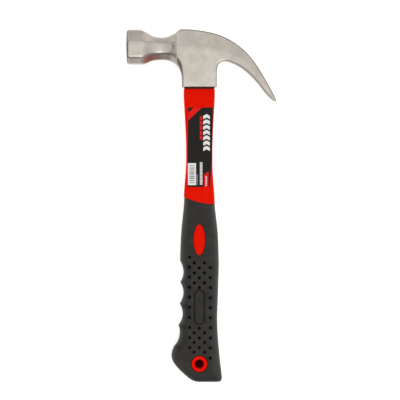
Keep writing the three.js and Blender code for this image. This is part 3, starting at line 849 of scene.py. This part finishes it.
def sleeveJacket():
    size = sleeveSize
    half = lineThrough(size["half"])
    foot, top = nodeSpan("handle_jacket", 1)
    deep = nodeSize("handle_jacket")[2] / 2
    coreWide, _, coreDeep = nodeSize("fibreglass_core")
    bore = (coreWide / 2 + size["coreGap"], coreDeep / 2 + size["coreGap"], size["boreCorner"])
    boreFoot = nodeSpan("fibreglass_core", 1)[0] - size["coreGap"]
    rings = [ringAt(boreFoot, *bore), ringAt(top, *bore)]
    for i in range(size["lipSteps"] + 1):
        angle = i / size["lipSteps"] * math.pi / 2
        inset = size["lip"] * (1 - math.sin(angle))
        y = top - size["lip"] * (1 - math.cos(angle))
        rings.append(ringAt(y, half(y) - inset, deep - inset, size["corner"] - inset * size["lipCorner"]))
    start, end = top - size["lip"], gripSize["edgeFoot"]
    for i in range(1, size["rows"] + 1):
        share = i / size["rows"]
        y = mixed(start, end, share)
        ring = ringAt(y, half(y), deep, size["corner"])
        ring[:, 1] += (gripEdge(ring[:, 0]) + size["edgeGap"] - end) * share ** 2
        rings.append(ring)
    stem = ringAt(end, *size["stem"])
    stem[:, 1] = gripEdge(stem[:, 0]) + size["edgeGap"]
    rings += [stem, ringAt(foot, *size["stem"])]
    made = loft("redJacket", rings)
    reach, radius = 20, size["hangRadius"]
    profile = [(0, -reach), (radius, -reach), (radius, reach), (0, reach)]
    cutAway(made, lathe("hangHole", profile, gripSize["hang"], 48))
    return made


redJacket = sleeveJacket()
settle(redJacket, "red_plastic", red, "handle_jacket")

ovalSize = {
    "wide": 5.1,
    "long": 13.85,
    "proud": 0.35,
    "deep": 1.5,
    "wall": 0.4,
    "round": 0.5,
    "roundShare": 0.6,  # share of proud that the rounded edge reaches
    "roundSteps": 5,
    "crown": [(1.4, 0.8), (2.8, 0.95), (4.2, 1.0)],  # inset and share of proud
    "crownLong": 0.9,
    "points": 96,
}


def ovalInlay(name, side, node):
    size = ovalSize
    face = lineThrough(gripSize["half"])
    height = gripSize["oval"]
    angles = np.arange(size["points"]) / size["points"] * 2 * math.pi
    profile = [(0, -size["deep"]), (0, -size["wall"])]
    for i in range(1, size["roundSteps"] + 1):
        angle = i / size["roundSteps"] * math.pi / 2
        lift = size["proud"] * math.sin(angle) * size["roundShare"]
        profile.append((size["round"] * (1 - math.cos(angle)), lift))
    profile += [(inset, size["proud"] * share) for inset, share in size["crown"]]
    rings = []
    for inset, lift in profile:
        a, b = size["wide"] - inset, size["long"] - inset * (1 + size["crownLong"] * (inset > 1))
        x, y = a * np.cos(angles), height + b * np.sin(angles)
        base = face(np.full_like(y, height) if lift <= -size["deep"] else y)
        rings.append(np.stack([x, y, side * (base + lift)], 1))
    if side < 0:
        rings = [ring[::-1] for ring in rings]
    settle(loft(name, rings), "red_plastic", red, node)


ovalInlay("ovalInlayFront", 1, "oval_inlay_front")
ovalInlay("ovalInlayBack", -1, "oval_inlay_back")

eyeletSize = {
    "outer": 7.25,
    "bore": 4.2,
    "draft": 0.9,
    "round": 0.9,
    "crown": 0.05,
    "steps": 6,
    "points": 72,
}


def hangEyelet():
    size = eyeletSize
    half = nodeSize("hang_eyelet")[2] / 2
    middle = (size["outer"] + size["bore"]) / 2
    profile = []

    def corner(radius, z, startTurn):
        for i in range(size["steps"] + 1):
            angle = math.radians(startTurn + 90 * i / size["steps"])
            profile.append((radius + size["round"] * math.cos(angle), z + size["round"] * math.sin(angle)))

    low, high = -half + size["round"], half - size["round"]
    corner(size["outer"] - size["round"], low, -90)
    corner(size["outer"] - size["round"], high, 0)
    profile.append((middle, half + size["crown"]))
    corner(size["bore"] + size["round"], high, 90)
    profile.append((size["bore"] - size["draft"], 0))
    corner(size["bore"] + size["round"], low, 180)
    profile.append((middle, -half))
    count = size["points"]
    angles = np.arange(count) / count * 2 * math.pi
    points = [(r * math.cos(a), gripSize["hang"] + r * math.sin(a), z) for r, z in profile for a in angles]
    faces = []
    for level in range(len(profile)):
        here, above = level * count, (level + 1) % len(profile) * count
        for i in range(count):
            j = (i + 1) % count
            faces.append((here + i, here + j, above + j, above + i))
    settle(makeObject("hangEyeletRing", points, faces), "red_plastic", red, "hang_eyelet")


hangEyelet()

# The label is a film that bends round the sleeve's corner.
labelSize = {
    "top": 249.1,
    "foot": 177.0,
    "left": [(176, -11.0), (190, -10.6), (249.5, -10.1)],  # height, place across
    "right": [(176, 9.4), (196, 11.0), (201, 11.7), (249.5, 12.4)],
    "lift": 0.06,
    "thick": 0.14,
    "rows": 72,
    "columns": 40,
}
printLook = {
    "black": (0.0125, 0.0105, 0.0088),
    "white": (0.86, 0.86, 0.85),
    "red": (0.82, 0.004, 0.001),
    "grey": (0.35, 0.34, 0.33),
    "scuffed": (0.20, 0.19, 0.18),
    "roughness": (0.30, 0.46),
    "band": (2.5, 0.94, 7.0),  # where its lower edge meets the label's top, slope and height
    "arrows": (6.6, 0.55, 4.8, 0.66),  # middle, slope, pitch and share printed
    "badge": (4.2, 8.3, 176.0, 188.0, 0.75),  # left, right, foot, height at its left and slope
    # boxes are left, right, foot and top; dashes add a pitch, the share printed and sometimes a shift
    "arrowBox": (3.6, 9.6, 209.6, 243.2),
    "redDashes": [(0.5, 2.7, 219.8, 242.0), (4.4, 0.78)],
    "panelBox": (-10.4, -3.0, 178.6, 198.6),
    "longBars": [(-8.8, -4.4, 180.0, 197.2), (1.9, 0.45)],
    "shortBars": [(-8.8, -4.4, 183.0, 193.6), (1.3, 0.4, 0.5)],
    "smallDashes": [(0.5, 2.9, 179.0, 199.4), (1.25, 0.72)],
    "tinyDashes": [(-2.7, -1.3, 179.0, 188.4), (1.1, 0.6)],
    "badgeDashes": [(5.6, 6.9, 178.0, 187.2), (1.6, 0.6)],
}


def labelFilm():
    size = labelSize
    half = lineThrough(sleeveSize["half"])
    deep = nodeSize("handle_jacket")[2] / 2
    corner = sleeveSize["corner"]
    leftEdge = np.array(size["left"]).T
    rightEdge = np.array(size["right"]).T
    layers = []
    for lift in (size["lift"], size["lift"] + size["thick"]):
        rows = []
        for i in range(size["rows"] + 1):
            y = mixed(size["top"], size["foot"], i / size["rows"])
            flat = half(y) - corner
            along = np.linspace(np.interp(y, *leftEdge), np.interp(y, *rightEdge), size["columns"] + 1)
            over = np.maximum(np.abs(along) - flat, 0) / corner
            x = np.sign(along) * (np.minimum(np.abs(along), flat) + (corner + lift) * np.sin(over))
            z = deep - corner + (corner + lift) * np.cos(over)
            rows.append(np.stack([x, np.full_like(x, y), z], 1))
        layers.append(np.array(rows))
    wide, tall = size["columns"] + 1, size["rows"] + 1
    points = np.concatenate([layer.reshape(-1, 3) for layer in layers])
    upper = wide * tall
    faces = []
    for i in range(tall - 1):
        for j in range(wide - 1):
            a, d = i * wide + j, (i + 1) * wide + j
            b, c = a + 1, d + 1
            faces.append((a, b, c, d))
            faces.append((upper + a, upper + d, upper + c, upper + b))
    rim = [(0, j) for j in range(wide)] + [(i, wide - 1) for i in range(1, tall)]
    rim += [(tall - 1, j) for j in range(wide - 2, -1, -1)] + [(i, 0) for i in range(tall - 2, 0, -1)]
    for k, (i, j) in enumerate(rim):
        ni, nj = rim[(k + 1) % len(rim)]
        a, b = i * wide + j, ni * wide + nj
        faces.append((b, a, upper + a, upper + b))
    made = makeObject("labelFilm", points, faces)
    made.data.set_sharp_from_angle(angle=math.radians(50))
    return made


def labelPrint():
    finish = Finish("labelPrint", specularIORLevel=0.12)
    look = printLook
    x, y, _ = finish.axes()
    x = x - origin[0] / mm
    y = y - origin[1] / mm

    def box(left, right, foot, top):
        return (x > left) * (x < right) * (y > foot) * (y < top)

    def dashes(period, share, shift=0.0):
        return finish.maths("FRACT", (y + shift) * (1 / period)) < share

    def dashed(key):
        area, rhythm = look[key]
        return box(*area) * dashes(*rhythm)

    start, slope, width = look["band"]
    diagonal = (y - labelSize["top"]) - (x - start) * slope
    middle, bend, pitch, share = look["arrows"]
    arrows = finish.maths("FRACT", (y + finish.maths("ABSOLUTE", x - middle) * bend) * (1 / pitch)) < share
    left, right, foot, rise, tilt = look["badge"]
    badge = (x > left) * (x < right) * (y > foot) * (((x - left) * tilt + rise) - y > 0)
    prints = [
        (box(*look["arrowBox"]) * arrows, "white"),
        (dashed("redDashes"), "red"),
        (box(*look["panelBox"]), "white"),
        (dashed("longBars") + dashed("shortBars"), "grey"),
        (dashed("smallDashes"), "white"),
        (dashed("tinyDashes"), "grey"),
        (badge, "red"),
        (dashed("badgeDashes"), "white"),
    ]
    colour = finish.blend((diagonal > 0) * (diagonal < width), look["black"], look["red"])
    for mask, ink in prints:
        colour = finish.blend(finish.maths("MINIMUM", mask, 1.0), colour, look[ink])
    scuff = finish.noise(0.3, 5, 0.65)
    finish.feed(baseColor=finish.blend(finish.between(scuff, -0.06, 0.05), colour, look["scuffed"]))
    finish.feed(roughness=finish.between(scuff, *look["roughness"]))
    finish.feed(normal=finish.bump(finish.noise(1.4, 2), 0.02, 0.3))
    return finish.material


settle(labelFilm(), "label_film", labelPrint(), "label_front")

# CAD nodes that stay get a finish each: its name, base, shade, roughness and noise scale.
keptNodes = {
    "fibreglass_core": ("glassFibre", (0.62, 0.50, 0.22), (0.50, 0.40, 0.18), 0.45, 0.8),
    "eye_resin": ("eyeResin", (0.03, 0.015, 0.01), (0.06, 0.03, 0.02), 0.35, 0.6),
    "eye_seal": ("sealRubber", (0.03, 0.006, 0.004), (0.05, 0.012, 0.008), 0.7, 1.2),
}
for node, look in keptNodes.items():
    wear(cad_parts[node], plainFinish(*look))

studio = {
    "paper": (0.86, 0.86, 0.86),
    "paperDrop": 0.0002,
    "shadeUnderHang": (0.30, 0.02, 0.02),  # floor seen through the hang hole, painted dark red: painted shade with painted red light from its walls
    "underHangReach": 10.0,
    "floorReach": 3.0,
    "floorGlow": 0.62,
    "sky": [  # height above the horizon and brightness
        (0.0, 0.98), (0.05, 0.95), (0.10, 0.36), (0.45, 0.45), (0.75, 0.85), (0.97, 1.05)
    ],
    "skyLean": (0.35, 0.65),  # how much brighter it is to the right and to the back
    "lampPlace": (0.20, -0.50, 1.4),
    "lampSize": 0.9,
    "lampPower": 3.4,
    "cameraHeight": 3.0,
    "viewWidth": 0.3643,
    "viewMiddle": (-0.00096, 0.00513),
}


def makeFloor():
    reach = studio["floorReach"]
    mesh = bpy.data.meshes.new("floor")
    height = -studio["paperDrop"]
    corners = [(x * reach, y * reach, height) for x, y in ((-1, -1), (1, -1), (1, 1), (-1, 1))]
    mesh.from_pydata(corners, [], [(0, 1, 2, 3)])
    floor = bpy.data.objects.new("floor", mesh)
    bpy.context.scene.collection.objects.link(floor)
    finish = Finish("floorPaper", roughness=0.9, specularIORLevel=0.1, emissionStrength=studio["floorGlow"])
    x, y, _ = finish.axes()
    hangX, hangY = origin[0] / mm, origin[1] / mm + gripSize["hang"]
    off = finish.maths("POWER", x - hangX, 2.0) + finish.maths("POWER", y - hangY, 2.0)
    # painted shade under the hang hole: there the floor does not glow and is dark red, a painted red light
    # from the hole's walls
    lit = off > studio["underHangReach"] ** 2
    finish.feed(emissionColor=finish.blend(lit, (0.0, 0.0, 0.0), (1.0, 1.0, 1.0)))
    finish.feed(baseColor=finish.blend(lit, studio["shadeUnderHang"], studio["paper"]))
    mesh.materials.append(finish.material)


def makeSky():
    world = bpy.data.worlds.new("studioSky")
    bpy.context.scene.world = world
    world.use_nodes = True
    sky = Nodes(world.node_tree)
    where = sky.node("ShaderNodeTexCoord")
    right, back, up = (sky.node("ShaderNodeSeparateXYZ", inputs={0: where}, output=i) for i in range(3))
    glow = sky.node("ShaderNodeValToRGB", {"stops": studio["sky"]}, {0: up})
    light = world.node_tree.nodes["Background"]
    leanRight, leanBack = studio["skyLean"]
    lean = (right * leanRight + back * leanBack) * up * (1.0 - up) * 4.0
    sky.plug(light.inputs["Color"], glow)
    sky.plug(light.inputs["Strength"], lean + 1.0)


def addLamp():
    data = bpy.data.lights.new("softTop", "AREA")
    data.shape = "DISK"
    data.size = studio["lampSize"]
    data.energy = studio["lampPower"]
    lamp = bpy.data.objects.new("softTop", data)
    bpy.context.scene.collection.objects.link(lamp)
    lamp.location = studio["lampPlace"]
    lamp.rotation_euler = (-Vector(studio["lampPlace"])).to_track_quat("-Z", "Y").to_euler()


def makeCamera():
    data = bpy.data.cameras.new("camera")
    camera = bpy.data.objects.new("camera", data)
    bpy.context.scene.collection.objects.link(camera)
    camera.location = (*studio["viewMiddle"], origin[2] + studio["cameraHeight"])
    data.sensor_fit = "AUTO"
    data.angle = 2 * math.atan(studio["viewWidth"] / 2 / studio["cameraHeight"])
    data.clip_end = 20
    bpy.context.scene.camera = camera


makeFloor()
makeSky()
addLamp()
makeCamera()
bpy.context.scene.view_settings.view_transform = "Standard"
bpy.context.scene.view_settings.look = "None"

print("staged the floor, the sky, the lamp and the camera")
